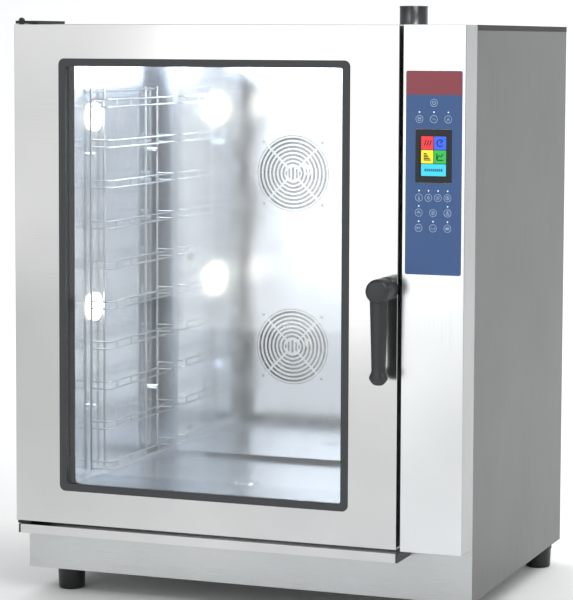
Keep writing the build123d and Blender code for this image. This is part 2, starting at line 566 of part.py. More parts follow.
def door_inner_panel():
    """Inner door sheet, folded forward inside the skin, with the latch keeper's hole."""
    x0, x1 = X_DOOR0 + SHEET + GAP, X_DOOR1 - SHEET - GAP
    z0, z1 = Z_DOOR0 + SHEET + GAP, Z_DOOR1 - SHEET - GAP
    panel = block(x0, x1, Y_DOOR_IN - 20, Y_DOOR_IN, z0, z1)
    panel -= block(x0 + SHEET, x1 - SHEET, Y_DOOR_IN - 21, Y_DOOR_IN - SHEET, z0 + SHEET, z1 - SHEET)
    window = RectangleRounded(SEAL_W - 6, SEAL_H - 6, SEAL_R)
    panel -= slab(window, X_MID, Z_MID, Y_DOOR_IN - 3, Y_DOOR_IN + 1)
    return panel - block(KEEPER_X - 12, KEEPER_X + 12, Y_DOOR_IN - 3, Y_DOOR_IN + 1,
                         KEEPER_Z - 14, KEEPER_Z + 14)


GLASS_W, GLASS_H = SEAL_W - 16, SEAL_H - 16
GLASS_Y0, GLASS_Y1 = Y_DOOR + SHEET, Y_DOOR + SHEET + 6.0


def outer_glass():
    return slab(RectangleRounded(GLASS_W, GLASS_H, 8), X_MID, Z_MID, GLASS_Y0, GLASS_Y1)


def inner_glass():
    y1 = Y_DOOR_IN - SHEET - GAP
    return slab(RectangleRounded(SEAL_W + 24, SEAL_H + 24, 8), X_MID, Z_MID, y1 - 5, y1)


def window_seal():
    """Rubber profile that grips the door sheet and the outer glass."""
    clear_w, clear_h = SEAL_W - 2 * SEAL_BAND, SEAL_H - 2 * SEAL_BAND
    lip = frame(SEAL_W, SEAL_H, SEAL_R, clear_w, clear_h, 5, X_MID, Z_MID, Y_DOOR - 1.8, Y_DOOR)
    lip += frame(SEAL_W - 10, SEAL_H - 10, SEAL_R - 3, clear_w, clear_h, 5, X_MID, Z_MID, Y_DOOR, GLASS_Y0)
    web = frame(SEAL_W - 10, SEAL_H - 10, SEAL_R - 3, GLASS_W, GLASS_H, 8, X_MID, Z_MID, GLASS_Y0, GLASS_Y1)
    back = frame(SEAL_W - 2, SEAL_H - 2, SEAL_R - 1, clear_w + 4, clear_h + 4, 5, X_MID, Z_MID,
                 GLASS_Y1, GLASS_Y1 + 2.0)
    return lip + web + back


def door_bushes():
    """Bronze bushes for the two hinge pins and the handle's spindle."""
    bushes = []
    for z0, z1 in ((Z_DOOR0 + SHEET, Z_DOOR0 + 35.5), (Z_DOOR1 - 35.5, Z_DOOR1 - SHEET)):
        bushes.append(rod_z(PIN_X, PIN_Y, z0, z1, 8.2) - rod_z(PIN_X, PIN_Y, z0 - 1, z1 + 1, PIN_R + 0.06))
    y0, y1 = Y_DOOR + SHEET, Y_DOOR + 40
    bushes.append(rod_y(HANDLE_X, HANDLE_Z, y0, y1, 16.0) - rod_y(HANDLE_X, HANDLE_Z, y0 - 1, y1 + 1, 11.06))
    return bushes


# ---- handle -------------------------------------------------------------------------------
LEVER_Y = Y_HANDLE + 13.0
SPINDLE_R = 11.0


def lever_section(z, w, d):
    return Pos(HANDLE_X, LEVER_Y, z) * RectangleRounded(w, d, min(w, d) * 0.42)


def handle_lever():
    """Round hub on the door with a tapered lever that hangs down to a flared tip."""
    hub = rod_y(HANDLE_X, HANDLE_Z, Y_HANDLE + 2, Y_DOOR - 0.6, HANDLE_R)
    arm = loft([lever_section(HANDLE_Z, 28, 21), lever_section(HANDLE_Z - 152, 22, 18)])
    neck = loft([lever_section(HANDLE_Z - 152, 22, 18), lever_section(HANDLE_Z - 161, 31, 22)])
    tip = loft([lever_section(HANDLE_Z - 161, 31, 22), lever_section(HANDLE_Z - 177, 19, 14)])
    bore = rod_y(HANDLE_X, HANDLE_Z, Y_DOOR - 30, Y_DOOR, SPINDLE_R)
    return hub + arm + neck + tip - bore - rod_y(HANDLE_X, HANDLE_Z, Y_HANDLE, Y_HANDLE + 3.5, HANDLE_R - 3)


def handle_cap():
    return rod_y(HANDLE_X, HANDLE_Z, Y_HANDLE, Y_HANDLE + 3.5, HANDLE_R - 3)


def latch_spindle():
    """Steel spindle through the door with the latch nose on its inner end."""
    spindle = rod_y(HANDLE_X, HANDLE_Z, Y_DOOR - 30, Y_DOOR + 52, SPINDLE_R)
    nose = block(HANDLE_X - 6, HANDLE_X + 6, Y_DOOR + 42, Y_DOOR + 52, HANDLE_Z - 16, HANDLE_Z)
    return spindle + rod_y(HANDLE_X, HANDLE_Z, Y_DOOR + 42, Y_DOOR + 52, 13.0) + nose


# ---- feet ---------------------------------------------------------------------------------
def foot(x, y):
    """Levelling foot: moulded pad on a threaded stem."""
    pad = rod_z(x, y, 0, FOOT_H - 3, 29.0)
    pad = fillet(pad.faces().sort_by(Axis.Z)[0].edges(), 6.0)
    pad = chamfer(pad.faces().sort_by(Axis.Z)[-1].edges(), 2.0)
    return [pad, rod_z(x, y, FOOT_H - 3, Z_BASE + 58, 6.0)]


def main():
    save("front_frame", front_frame())
    save("left_side_panel", side_panel(-1))
    save("right_side_panel", side_panel(1))
    save("base_pan", *base_pan())
    save("rear_panel", rear_panel())
    save("roof_panel", roof_panel())
    save("roof_trims", *roof_trims())
    save("panel_screws", *panel_screws())
    save("cavity_liner", *cavity_liner())
    save("insulation_boards", *insulation_boards())
    save("fan_baffle", fan_baffle())
    save("baffle_fixings", *baffle_fixings())
    save("fan_motors", *fan_motors())
    save("heater_rings", *heater_rings())
    save("tray_rack_left", *tray_rack(-1))
    save("tray_rack_right", *tray_rack(1))
    save("lamp_lenses", *lamp_lenses())
    save("drain_pipe", *drain_pipe())
    save("vent_pipe", vent_pipe())
    save("door_gasket", door_gasket())
    save("drip_tray", drip_tray())
    save("drip_tray_caps", *drip_tray_caps())
    save("hinge_brackets", *hinge_brackets())
    save("latch_keeper", latch_keeper())
    save("control_column", control_column())
    save("control_overlay", control_overlay())
    save("display_bezel", display_bezel())
    save("display_screen", display_screen())
    save("control_boards", *control_boards())
    save("water_valves", *water_valves())
    save("cable_gland", cable_gland())
    save("door_skin", door_skin())
    save("door_inner_panel", door_inner_panel())
    save("outer_glass", outer_glass())
    save("inner_glass", inner_glass())
    save("window_seal", window_seal())
    save("door_bushes", *door_bushes())
    save("handle_lever", handle_lever())
    save("handle_cap", handle_cap())
    save("latch_spindle", latch_spindle())
    for name, z in FAN_Z.items():
        save(f"fan_wheel_{name}", *fan_wheel(z))
    for name, x, z in key_places():
        save(name, key(x, z))
    for name, (x, y) in FEET.items():
        save(f"foot_{name}", *foot(x, y))


main()
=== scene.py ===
from math import cos, pi, radians, sin

import bmesh
import bpy
from mathutils import Matrix, Vector


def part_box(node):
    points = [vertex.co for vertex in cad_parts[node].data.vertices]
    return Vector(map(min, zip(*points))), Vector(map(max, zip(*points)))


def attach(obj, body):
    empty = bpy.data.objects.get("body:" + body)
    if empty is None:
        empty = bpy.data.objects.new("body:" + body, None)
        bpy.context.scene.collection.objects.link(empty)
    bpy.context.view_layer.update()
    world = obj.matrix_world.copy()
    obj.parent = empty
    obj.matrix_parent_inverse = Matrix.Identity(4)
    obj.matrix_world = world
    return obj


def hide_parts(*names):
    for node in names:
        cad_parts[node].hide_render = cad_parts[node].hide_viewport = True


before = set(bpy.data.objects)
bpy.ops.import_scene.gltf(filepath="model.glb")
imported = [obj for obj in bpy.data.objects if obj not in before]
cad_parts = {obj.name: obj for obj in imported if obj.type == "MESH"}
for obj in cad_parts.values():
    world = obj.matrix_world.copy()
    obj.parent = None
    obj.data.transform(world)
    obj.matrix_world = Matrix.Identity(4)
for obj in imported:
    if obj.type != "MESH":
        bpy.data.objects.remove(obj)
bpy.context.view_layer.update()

# Metres, in the CAD part's own frame: +X right seen from the front, +Y to the back, +Z up.
MM = 0.001
OVERLAY_LO, OVERLAY_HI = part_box("control_overlay")
LINER_LO, LINER_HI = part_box("cavity_liner")
SCREEN_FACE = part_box("display_screen")[0].y
ROOF_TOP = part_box("roof_panel")[1].z
REAR_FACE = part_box("rear_panel")[1].y
STAGE = bpy.context.scene


# ---- small tools --------------------------------------------------------------------------
def hex_colour(text):
    """An sRGB hex colour as linear red, green, blue and alpha."""
    shares = [int(text[i:i + 2], 16) / 255 for i in (1, 3, 5)]
    return [s / 12.92 if s <= 0.04045 else ((s + 0.055) / 1.055) ** 2.4 for s in shares] + [1.0]


def add(tree, kind, inputs=None, **settings):
    """Adds one node, sets its settings, then links or sets its inputs by name or number."""
    made = tree.nodes.new(kind)
    for name, value in settings.items():
        setattr(made, name, value)
    for name, value in (inputs or {}).items():
        if isinstance(value, bpy.types.NodeSocket):
            tree.links.new(value, made.inputs[name])
        else:
            made.inputs[name].default_value = value
    return made


def new_material(name):
    made = bpy.data.materials.new(name)
    made.use_nodes = True
    made.node_tree.nodes.clear()
    return made, made.node_tree


def mottle(tree, cell, detail=2.0, low=0.0, high=1.0):
    """Noise on object coordinates, in cells of the given size, three numbers in millimetres. Gives the
    noise itself, which runs from 0.3 to 0.7, and the same noise moved onto the range low to high."""
    where = add(tree, "ShaderNodeTexCoord")
    places = add(tree, "ShaderNodeMapping", {"Vector": where.outputs["Object"],
                                             "Scale": [1 / (c * MM) for c in cell]})
    noise = add(tree, "ShaderNodeTexNoise", {"Vector": places.outputs[0], "Scale": 1.0, "Detail": detail})
    ranged = add(tree, "ShaderNodeMapRange", {"Value": noise.outputs[0], "From Min": 0.3, "From Max": 0.7,
                                              "To Min": low, "To Max": high})
    return noise.outputs[0], ranged.outputs[0]


def shade_of(colour, share):
    """The hex colour, darkened or lightened by a share, with no part over 1."""
    return [min(1.0, c * share) for c in hex_colour(colour)[:3]] + [1.0]


# ---- materials ----------------------------------------------------------------------------
def ground_stainless(name, colour, low, high, grain, depth=0.02):
    """Stainless sheet ground with a 240 grit belt. The scratches are near 0.05 mm wide, too fine to
    show, so they are drawn as streaks of grain millimetres. They give soft highlights that are drawn
    out across the grain, and slow changes of tone where the sheet was rubbed."""
    made, tree = new_material(name)
    streaks, roughness = mottle(tree, grain, 3.0, low, high)
    rubbed = mottle(tree, (260, 260, 260))[1]
    tone = add(tree, "ShaderNodeMix", {0: rubbed, 6: hex_colour(colour), 7: shade_of(colour, 0.9)},
               data_type="RGBA")
    relief = add(tree, "ShaderNodeBump", {"Height": streaks, "Strength": 0.12, "Distance": depth * MM})
    shader = add(tree, "ShaderNodeBsdfPrincipled", {
        "Base Color": tone.outputs[2], "Metallic": 1.0, "Roughness": roughness, "Normal": relief.outputs[0]})
    add(tree, "ShaderNodeOutputMaterial", {"Surface": shader.outputs[0]})
    return made


def bright_annealed_stainless(name, colour, low, high, wave=0.5):
    """Bright annealed stainless, as rolled between polished rolls. It mirrors what is near it, and the
    thin sheet's slight buckles, about 150 mm across, bend the reflections."""
    made, tree = new_material(name)
    buckle = mottle(tree, (150, 150, 190), 1.0)[0]
    roughness = mottle(tree, (40, 40, 70), 4.0, low, high)[1]
    relief = add(tree, "ShaderNodeBump", {"Height": buckle, "Strength": 0.5, "Distance": wave * MM * 6})
    shader = add(tree, "ShaderNodeBsdfPrincipled", {
        "Base Color": hex_colour(colour), "Metallic": 1.0, "Roughness": roughness,
        "Normal": relief.outputs[0]})
    add(tree, "ShaderNodeOutputMaterial", {"Surface": shader.outputs[0]})
    return made


def moulded_plastic(name, colour, roughness, texture=0.7, bump=0.05, coat=0.0):
    """Injection-moulded plastic. The mould's spark-eroded grain, about 0.7 mm across, breaks the gloss
    into a soft sheen."""
    made, tree = new_material(name)
    grain, sheen = mottle(tree, (texture,) * 3, 2.0, roughness - 0.05, roughness + 0.05)
    relief = add(tree, "ShaderNodeBump", {"Height": grain, "Strength": 0.3, "Distance": bump * MM})
    shader = add(tree, "ShaderNodeBsdfPrincipled", {
        "Base Color": hex_colour(colour), "IOR": 1.5, "Coat Weight": coat, "Roughness": sheen,
        "Normal": relief.outputs[0]})
    add(tree, "ShaderNodeOutputMaterial", {"Surface": shader.outputs[0]})
    return made


def cured_rubber(name, colour):
    """Extruded silicone or EPDM rubber: matt, with a faint bloom that lightens it in patches 8 mm wide."""
    made, tree = new_material(name)
    bloom = mottle(tree, (8, 8, 8), 3.0)[1]
    roughness = mottle(tree, (8, 8, 8), 3.0, 0.4, 0.55)[1]
    tone = add(tree, "ShaderNodeMix", {0: bloom, 6: hex_colour(colour), 7: shade_of(colour, 1.5)},
               data_type="RGBA")
    shader = add(tree, "ShaderNodeBsdfPrincipled", {"Base Color": tone.outputs[2], "IOR": 1.52,
                                                    "Roughness": roughness})
    add(tree, "ShaderNodeOutputMaterial", {"Surface": shader.outputs[0]})
    return made


def toughened_glass(name, colour, film=0.004):
    """Toughened float glass: clear with a cold tint, and a mirror only at the glancing angle. Wiping
    leaves a faint uneven film, in streaks 30 mm wide."""
    made, tree = new_material(name)
    wiped = mottle(tree, (30, 30, 120), 2.0, film, film + 0.04)[1]
    through = add(tree, "ShaderNodeBsdfTransparent", {"Color": hex_colour(colour)})
    mirror = add(tree, "ShaderNodeBsdfGlossy", {"Color": (1, 1, 1, 1), "Roughness": wiped})
    facing = add(tree, "ShaderNodeLayerWeight", {"Blend": 0.5})
    edge = add(tree, "ShaderNodeMath", {0: facing.outputs[1], 1: 5.0}, operation="POWER")
    share = add(tree, "ShaderNodeMath", {0: edge.outputs[0], 1: 0.96, 2: 0.04}, operation="MULTIPLY_ADD")
    both = add(tree, "ShaderNodeMixShader", {0: share.outputs[0], 1: through.outputs[0],
                                             2: mirror.outputs[0]})
    add(tree, "ShaderNodeOutputMaterial", {"Surface": both.outputs[0]})
    return made


def printed_foil(name, colour, roughness=0.35):
    """Polyester foil printed from behind: an even ink under a fine satin grain, 0.4 mm across."""
    made, tree = new_material(name)
    grain, sheen = mottle(tree, (0.4,) * 3, 2.0, roughness - 0.04, roughness + 0.06)
    relief = add(tree, "ShaderNodeBump", {"Height": grain, "Strength": 0.2, "Distance": 0.02 * MM})
    shader = add(tree, "ShaderNodeBsdfPrincipled", {
        "Base Color": hex_colour(colour), "IOR": 1.57, "Normal": relief.outputs[0], "Roughness": sheen})
    add(tree, "ShaderNodeOutputMaterial", {"Surface": shader.outputs[0]})
    return made


def lit_surface(name, colour, strength, emitter=1.2):
    """A lit pane: a lamp's lens or a display's tile. The pattern of the emitters behind it, emitter
    millimetres apart, makes the light slightly uneven."""
    made, tree = new_material(name)
    uneven = mottle(tree, (emitter,) * 3)[1]
    shade = add(tree, "ShaderNodeMix", {0: uneven, 6: shade_of(colour, 0.85), 7: hex_colour(colour)},
                data_type="RGBA")
    shader = add(tree, "ShaderNodeBsdfPrincipled", {
        "Base Color": hex_colour(colour), "Roughness": 0.3, "Emission Color": shade.outputs[2],
        "Emission Strength": strength})
    add(tree, "ShaderNodeOutputMaterial", {"Surface": shader.outputs[0]})
    return made


def mineral_wool(name):
    """Stone wool board: olive brown fibres laid flat, drawn 3 mm thick so that they show."""
    made, tree = new_material(name)
    fibre, share = mottle(tree, (14, 14, 3), 5.0)
    tone = add(tree, "ShaderNodeMix", {0: share, 6: hex_colour("#7d7448"), 7: hex_colour("#b3a872")},
               data_type="RGBA")
    relief = add(tree, "ShaderNodeBump", {"Height": fibre, "Strength": 0.8, "Distance": 1.5 * MM})
    shader = add(tree, "ShaderNodeBsdfPrincipled", {"Base Color": tone.outputs[2], "Roughness": 0.95,
                                                    "Normal": relief.outputs[0]})
    add(tree, "ShaderNodeOutputMaterial", {"Surface": shader.outputs[0]})
    return made


# Streaks along X on the door, the front frame and the roof, and along Z on the column and the sides.
ALONG_X, ALONG_Z = (160, 1.0, 1.0), (1.0, 1.0, 160)
FINISH = {
    "door_sheet": ground_stainless("ground_stainless_door", "#d4d4d3", 0.12, 0.17, ALONG_X, 0.006),
    "column_sheet": ground_stainless("ground_stainless_column", "#e2e4e4", 0.2, 0.26, ALONG_Z, 0.008),
    # The control column's side faces: the column's stainless painted darker, as painted shade on faces
    # turned from the lamps.
    "flank_sheet": ground_stainless("ground_stainless_flank", "#b4b6b6", 0.26, 0.32, ALONG_Z, 0.008),
    # The side and rear panels: the same ground stainless, made much darker with painted shade for sides that
    # face away from the lamps.
    "side_sheet": ground_stainless("ground_stainless_side", "#767876", 0.36, 0.44, ALONG_Z, 0.012),
    "base_sheet": ground_stainless("ground_stainless_base", "#c4c6c5", 0.24, 0.28, ALONG_X, 0.003),
    "chamber_sheet": ground_stainless("welded_chamber_stainless", "#e8eef4", 0.23, 0.27, ALONG_Z, 0.004),
    "mirror_sheet": bright_annealed_stainless("bright_annealed_baffle", "#f2f6fa", 0.08, 0.14, 0.35),
    "wire": bright_annealed_stainless("drawn_stainless_wire", "#8a8e91", 0.34, 0.44, 0.05),
    "turned_steel": bright_annealed_stainless("turned_stainless", "#cfcfcd", 0.16, 0.26, 0.02),
    "vent_steel": ground_stainless("blued_vent_stainless", "#6b6c6e", 0.2, 0.32, ALONG_Z),
    # A near-black finish for the roof trims and hinge brackets.
    "dark_paint": moulded_plastic("powder_coated_dark_trim", "#202122", 0.6, 1.2, 0.06),
    "seal": cured_rubber("window_seal_rubber", "#2c2f31"),
    "nylon": moulded_plastic("glass_filled_nylon", "#26282a", 0.34, 0.9, 0.05),
    "foot": moulded_plastic("moulded_foot_nylon", "#17191a", 0.4, 0.9, 0.06),
    "outer_glass": toughened_glass("toughened_outer_glass", "#fdfefe"),
    "inner_glass": toughened_glass("toughened_inner_glass", "#fefeff"),
    "blue_foil": printed_foil("printed_blue_foil", "#284f82"),
    "key_foil": printed_foil("printed_key_foil", "#2a5386"),
    "red_foil": printed_foil("printed_red_foil", "#82303b"),
    "pale_ink": printed_foil("printed_pale_ink", "#cddcf0", 0.4),
    "bezel": moulded_plastic("satin_bezel_abs", "#07080a", 0.38, 1.0, 0.01),
    "panel_off": moulded_plastic("liquid_crystal_panel", "#030405", 0.3, 0.5, 0.003),
    "board": moulded_plastic("glass_epoxy_board", "#1e5a35", 0.4, 2.0, 0.03),
    "wool": mineral_wool("stone_wool_board"),
    "motor": moulded_plastic("enamelled_motor_iron", "#3a3f44", 0.5, 2.5, 0.15),
    "heater": moulded_plastic("oxidised_heater_sheath", "#4d453f", 0.5, 1.5, 0.05),
    "lens": lit_surface("lit_lamp_lens", "#fff6df", 14.0, 3.0),
    "bronze": bright_annealed_stainless("sintered_bronze_bush", "#a9793f", 0.25, 0.4, 0.02),
    "valve": moulded_plastic("moulded_valve_nylon", "#d6d6d0", 0.4),
    "led": lit_surface("lit_indicator", "#dcecff", 0.9),
    "tile_red": lit_surface("display_tile_red", "#e0242c", 0.55),
    "tile_blue": lit_surface("display_tile_blue", "#2257e8", 0.55),
    "tile_yellow": lit_surface("display_tile_yellow", "#f2d21c", 0.55),
    "tile_green": lit_surface("display_tile_green", "#12a53c", 0.55),
    "tile_cyan": lit_surface("display_tile_cyan", "#2cb8dc", 0.55),
}
NODE_FINISH = {
    "door_sheet": "door_inner_panel drip_tray",
    "side_sheet": "left_side_panel right_side_panel rear_panel",
    "base_sheet": "front_frame base_pan roof_panel",
    "column_sheet": "control_column",
    "chamber_sheet": "cavity_liner drain_pipe",
    "mirror_sheet": "fan_baffle",
    "turned_steel": "baffle_fixings panel_screws latch_keeper latch_spindle fan_wheel_upper fan_wheel_lower",
    "wire": "tray_rack_left tray_rack_right",
    "vent_steel": "vent_pipe",
    "dark_paint": "roof_trims hinge_brackets",
    "seal": "window_seal door_gasket",
    "nylon": "handle_lever handle_cap cable_gland drip_tray_caps",
    "foot": "foot_front_left foot_front_right foot_rear_left foot_rear_right",
    "outer_glass": "outer_glass",
    "inner_glass": "inner_glass",
    "blue_foil": "control_overlay",
    "bezel": "display_bezel",
    "panel_off": "display_screen",
    "board": "control_boards",
    "wool": "insulation_boards",
    "motor": "fan_motors",
    "heater": "heater_rings",
    "lens": "lamp_lenses",
    "bronze": "door_bushes",
    "valve": "water_valves",
}
KEYS = sorted(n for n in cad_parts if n.startswith("key_"))


def dress(node, finish):
    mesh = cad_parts[node].data
    mesh.materials.clear()
    mesh.materials.append(FINISH[finish])


def dress_all():
    dress("door_skin", "door_sheet")
    for finish, nodes in NODE_FINISH.items():
        for node in nodes.split():
            dress(node, finish)
    for node in KEYS:
        dress(node, "key_foil")


# ---- mesh tools ---------------------------------------------------------------------------
def piece_from(name, mesh, finish, body):
    """Turns a finished mesh into a piece that rides on a body."""
    mesh.materials.clear()
    for one in finish.split():
        mesh.materials.append(FINISH[one])
    piece = bpy.data.objects.new(name, mesh)
    STAGE.collection.objects.link(piece)
    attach(piece, body)
    return piece


def softened(node, radius, finish, body):
    """Stands for a CAD node, with its folded or moulded edges rounded."""
    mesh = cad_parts[node].data.copy()
    work = bmesh.new()
    work.from_mesh(mesh)
    bmesh.ops.remove_doubles(work, verts=work.verts, dist=0.001 * MM)
    bmesh.ops.dissolve_limit(work, angle_limit=radians(0.5), verts=work.verts, edges=work.edges)
    work.to_mesh(mesh)
    work.free()
    mesh.shade_smooth()
    mesh.set_sharp_from_angle(angle=radians(35))
    piece = piece_from(node + "_rounded", mesh, finish, body)
    edge = piece.modifiers.new("edge", "BEVEL")
    edge.width = radius
    edge.segments = 2
    edge.limit_method = "ANGLE"
    edge.angle_limit = radians(50)
    edge.harden_normals = True
    edge.use_clamp_overlap = False
    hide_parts(node)
    return piece


def copies_tree():
    """Geometry Nodes: sets copies of a shape in a row, each moved and turned a step from the last."""
    tree = bpy.data.node_groups.new("set_out_copies", "GeometryNodeTree")
    for name, kind in (("Shape", "Geometry"), ("Count", "Int"), ("Step", "Vector"), ("Turn", "Vector"),
                       ("Finish", "Material")):
        tree.interface.new_socket(name=name, in_out="INPUT", socket_type="NodeSocket" + kind)
    tree.interface.new_socket(name="Copies", in_out="OUTPUT", socket_type="NodeSocketGeometry")
    given = add(tree, "NodeGroupInput").outputs
    row = add(tree, "GeometryNodeMeshLine", {"Count": given["Count"], "Offset": given["Step"]},
              mode="OFFSET")
    index = add(tree, "GeometryNodeInputIndex")
    turn = add(tree, "ShaderNodeVectorMath", {0: given["Turn"], "Scale": index.outputs[0]},
               operation="SCALE")
    placed = add(tree, "GeometryNodeInstanceOnPoints", {"Points": row.outputs[0], "Instance": given["Shape"],
                                                        "Rotation": turn.outputs[0]})
    real = add(tree, "GeometryNodeRealizeInstances", {"Geometry": placed.outputs[0]})
    done = add(tree, "GeometryNodeSetMaterial", {"Geometry": real.outputs[0], "Material": given["Finish"]})
    add(tree, "NodeGroupOutput", {"Copies": done.outputs[0]})
    return tree


def wire_tree():
    """Geometry Nodes: gives every edge run a round wire's thickness, in a row of copies."""
    tree = bpy.data.node_groups.new("draw_wires", "GeometryNodeTree")
    for name, kind in (("Runs", "Geometry"), ("Wire radius", "Float"), ("Sides", "Int"), ("Count", "Int"),
                       ("Step", "Vector"), ("Finish", "Material")):
        tree.interface.new_socket(name=name, in_out="INPUT", socket_type="NodeSocket" + kind)
    tree.interface.new_socket(name="Wires", in_out="OUTPUT", socket_type="NodeSocketGeometry")
    given = add(tree, "NodeGroupInput").outputs
    course = add(tree, "GeometryNodeMeshToCurve", {"Mesh": given["Runs"]})
    section = add(tree, "GeometryNodeCurvePrimitiveCircle", {"Resolution": given["Sides"],
                                                             "Radius": given["Wire radius"]})
    wire = add(tree, "GeometryNodeCurveToMesh", {
        "Curve": course.outputs[0], "Profile Curve": section.outputs[0], "Fill Caps": True})
    row = add(tree, "GeometryNodeMeshLine", {"Count": given["Count"], "Offset": given["Step"]},
              mode="OFFSET")
    placed = add(tree, "GeometryNodeInstanceOnPoints", {"Points": row.outputs[0],
                                                        "Instance": wire.outputs[0]})
    real = add(tree, "GeometryNodeRealizeInstances", {"Geometry": placed.outputs[0]})
    done = add(tree, "GeometryNodeSetMaterial", {"Geometry": real.outputs[0], "Material": given["Finish"]})
    add(tree, "NodeGroupOutput", {"Wires": done.outputs[0]})
    return tree


COPIES, WIRES = copies_tree(), wire_tree()


def grown(base, tree, **values):
    """The mesh that a Geometry Nodes tree makes from a base mesh. Names take _ for a space."""
    worker = bpy.data.objects.new("worker", base)
    STAGE.collection.objects.link(worker)
    grow = worker.modifiers.new("grow", "NODES")
    grow.node_group = tree
    for item in tree.interface.items_tree:
        given = item.name.replace(" ", "_")
        if item.in_out == "INPUT" and given in values:
            grow[item.identifier] = values[given]
    evaluated = worker.evaluated_get(bpy.context.evaluated_depsgraph_get())
    made = bpy.data.meshes.new_from_object(evaluated)
    worker.modifiers.clear()
    bpy.data.objects.remove(worker)
    return made


def copies(base, count, step=(0, 0, 0), turn=(0, 0, 0), finish="turned_steel"):
    return grown(base, COPIES, Count=count, Step=step, Turn=turn, Finish=FINISH[finish])


def wires(runs, radius, sides=10, count=1, step=(0, 0, 0), finish="wire"):
    """Round wires along runs of points, with copies a step apart."""
    base = bpy.data.meshes.new("runs")
    points = [p for run in runs for p in run]
    edges, first = [], 0
    for run in runs:
        edges += [(first + i, first + i + 1) for i in range(len(run) - 1)]
        first += len(run)
    base.from_pydata(points, edges, [])
    made = grown(base, WIRES, Wire_radius=radius, Sides=sides, Count=count, Step=step, Finish=FINISH[finish])
    made.shade_smooth()
    made.set_sharp_from_angle(angle=radians(50))
    return made


def joined(meshes):
    """One mesh from several, each with its own place."""
    work = bmesh.new()
    for mesh in meshes:
        work.from_mesh(mesh)
    made = bpy.data.meshes.new("joined")
    work.to_mesh(made)
    work.free()
    made.set_sharp_from_angle(angle=radians(35))
    return made


def moved(mesh, by):
    mesh.transform(Matrix.Translation(by))
    return mesh


def lathed(profile, centre, axis="Z", steps=48, tube=False):
    """A closed turned shape. The profile is (radius, distance along the axis), from end to end, or right
    round the wall of a tube."""
    work = bmesh.new()
    rings = []
    for radius, along in profile:
        ring = []
        for i in range(steps):
            a = 2 * pi * i / steps
            x, y = radius * cos(a), radius * sin(a)
            ring.append(work.verts.new((x, y, along) if axis == "Z" else (x, along, y)))
        rings.append(ring)
    for one, other in zip(rings, rings[1:] + rings[:1] if tube else rings[1:]):
        for i in range(steps):
            j = (i + 1) % steps
            work.faces.new((one[i], one[j], other[j], other[i]))
    if not tube:
        work.faces.new(rings[0])
        work.faces.new(rings[-1])
    bmesh.ops.recalc_face_normals(work, faces=work.faces)
    made = bpy.data.meshes.new("turned")
    work.to_mesh(made)
    work.free()
    made.transform(Matrix.Translation(centre))
    made.shade_smooth()
    made.set_sharp_from_angle(angle=radians(40))
    return made


def lofted(sections):
    """A closed skin over rings of points, each with as many points as the next."""
    work = bmesh.new()
    rings = [[work.verts.new(p) for p in section] for section in sections]
    for one, other in zip(rings, rings[1:]):
        for i in range(len(one)):
            j = (i + 1) % len(one)
            work.faces.new((one[i], one[j], other[j], other[i]))
    work.faces.new(rings[0])
    work.faces.new(rings[-1])
    bmesh.ops.recalc_face_normals(work, faces=work.faces)
    made = bpy.data.meshes.new("lofted")
    work.to_mesh(made)
    work.free()
    made.shade_smooth()
    made.set_sharp_from_angle(angle=radians(40))
    return made


def rounded_rectangle(x, z, width, height, radius, steps=6):
    """The outline of a rounded rectangle, in X and Z."""
    outline = []
    for quarter, (sx, sz) in enumerate(((1, 1), (-1, 1), (-1, -1), (1, -1))):
        for i in range(steps + 1):
            a = pi / 2 * (quarter + i / steps)
            outline.append((x + sx * (width / 2 - radius) + radius * cos(a),
                            z + sz * (height / 2 - radius) + radius * sin(a)))
    return outline


def plates(outlines, front, back):
    """Flat closed plates of one thickness, one for each outline in X and Z."""
    work = bmesh.new()
    for outline in outlines:
        near = [work.verts.new((x, front, z)) for x, z in outline]
        far = [work.verts.new((x, back, z)) for x, z in outline]
        for i in range(len(near)):
            j = (i + 1) % len(near)
            work.faces.new((near[i], near[j], far[j], far[i]))
        work.faces.new(near)
        work.faces.new(far)
    bmesh.ops.recalc_face_normals(work, faces=work.faces)
    made = bpy.data.meshes.new("plates")
    work.to_mesh(made)
    work.free()
    return made


def arc(x, z, radius, start, end, y=0.0, steps=24):
    """Points on an arc in X and Z, from one angle to another in degrees, counted from +X towards +Z."""
    angles = [radians(start + (end - start) * i / steps) for i in range(steps + 1)]
    return [(x + radius * cos(a), y, z + radius * sin(a)) for a in angles]


def flat_arc(x, z, radius, start, end, steps=24):
    """The same points as pairs of X and Z."""
    return [(px, pz) for px, _, pz in arc(x, z, radius, start, end, steps=steps)]


def hexagon(radius, y):
    """The corners of a nut or a hexagonal collar, round the Y axis."""
    return [(radius * cos(pi / 3 * i), y, radius * sin(pi / 3 * i)) for i in range(6)]


# ---- tray racks ---------------------------------------------------------------------------
LEVELS = 10


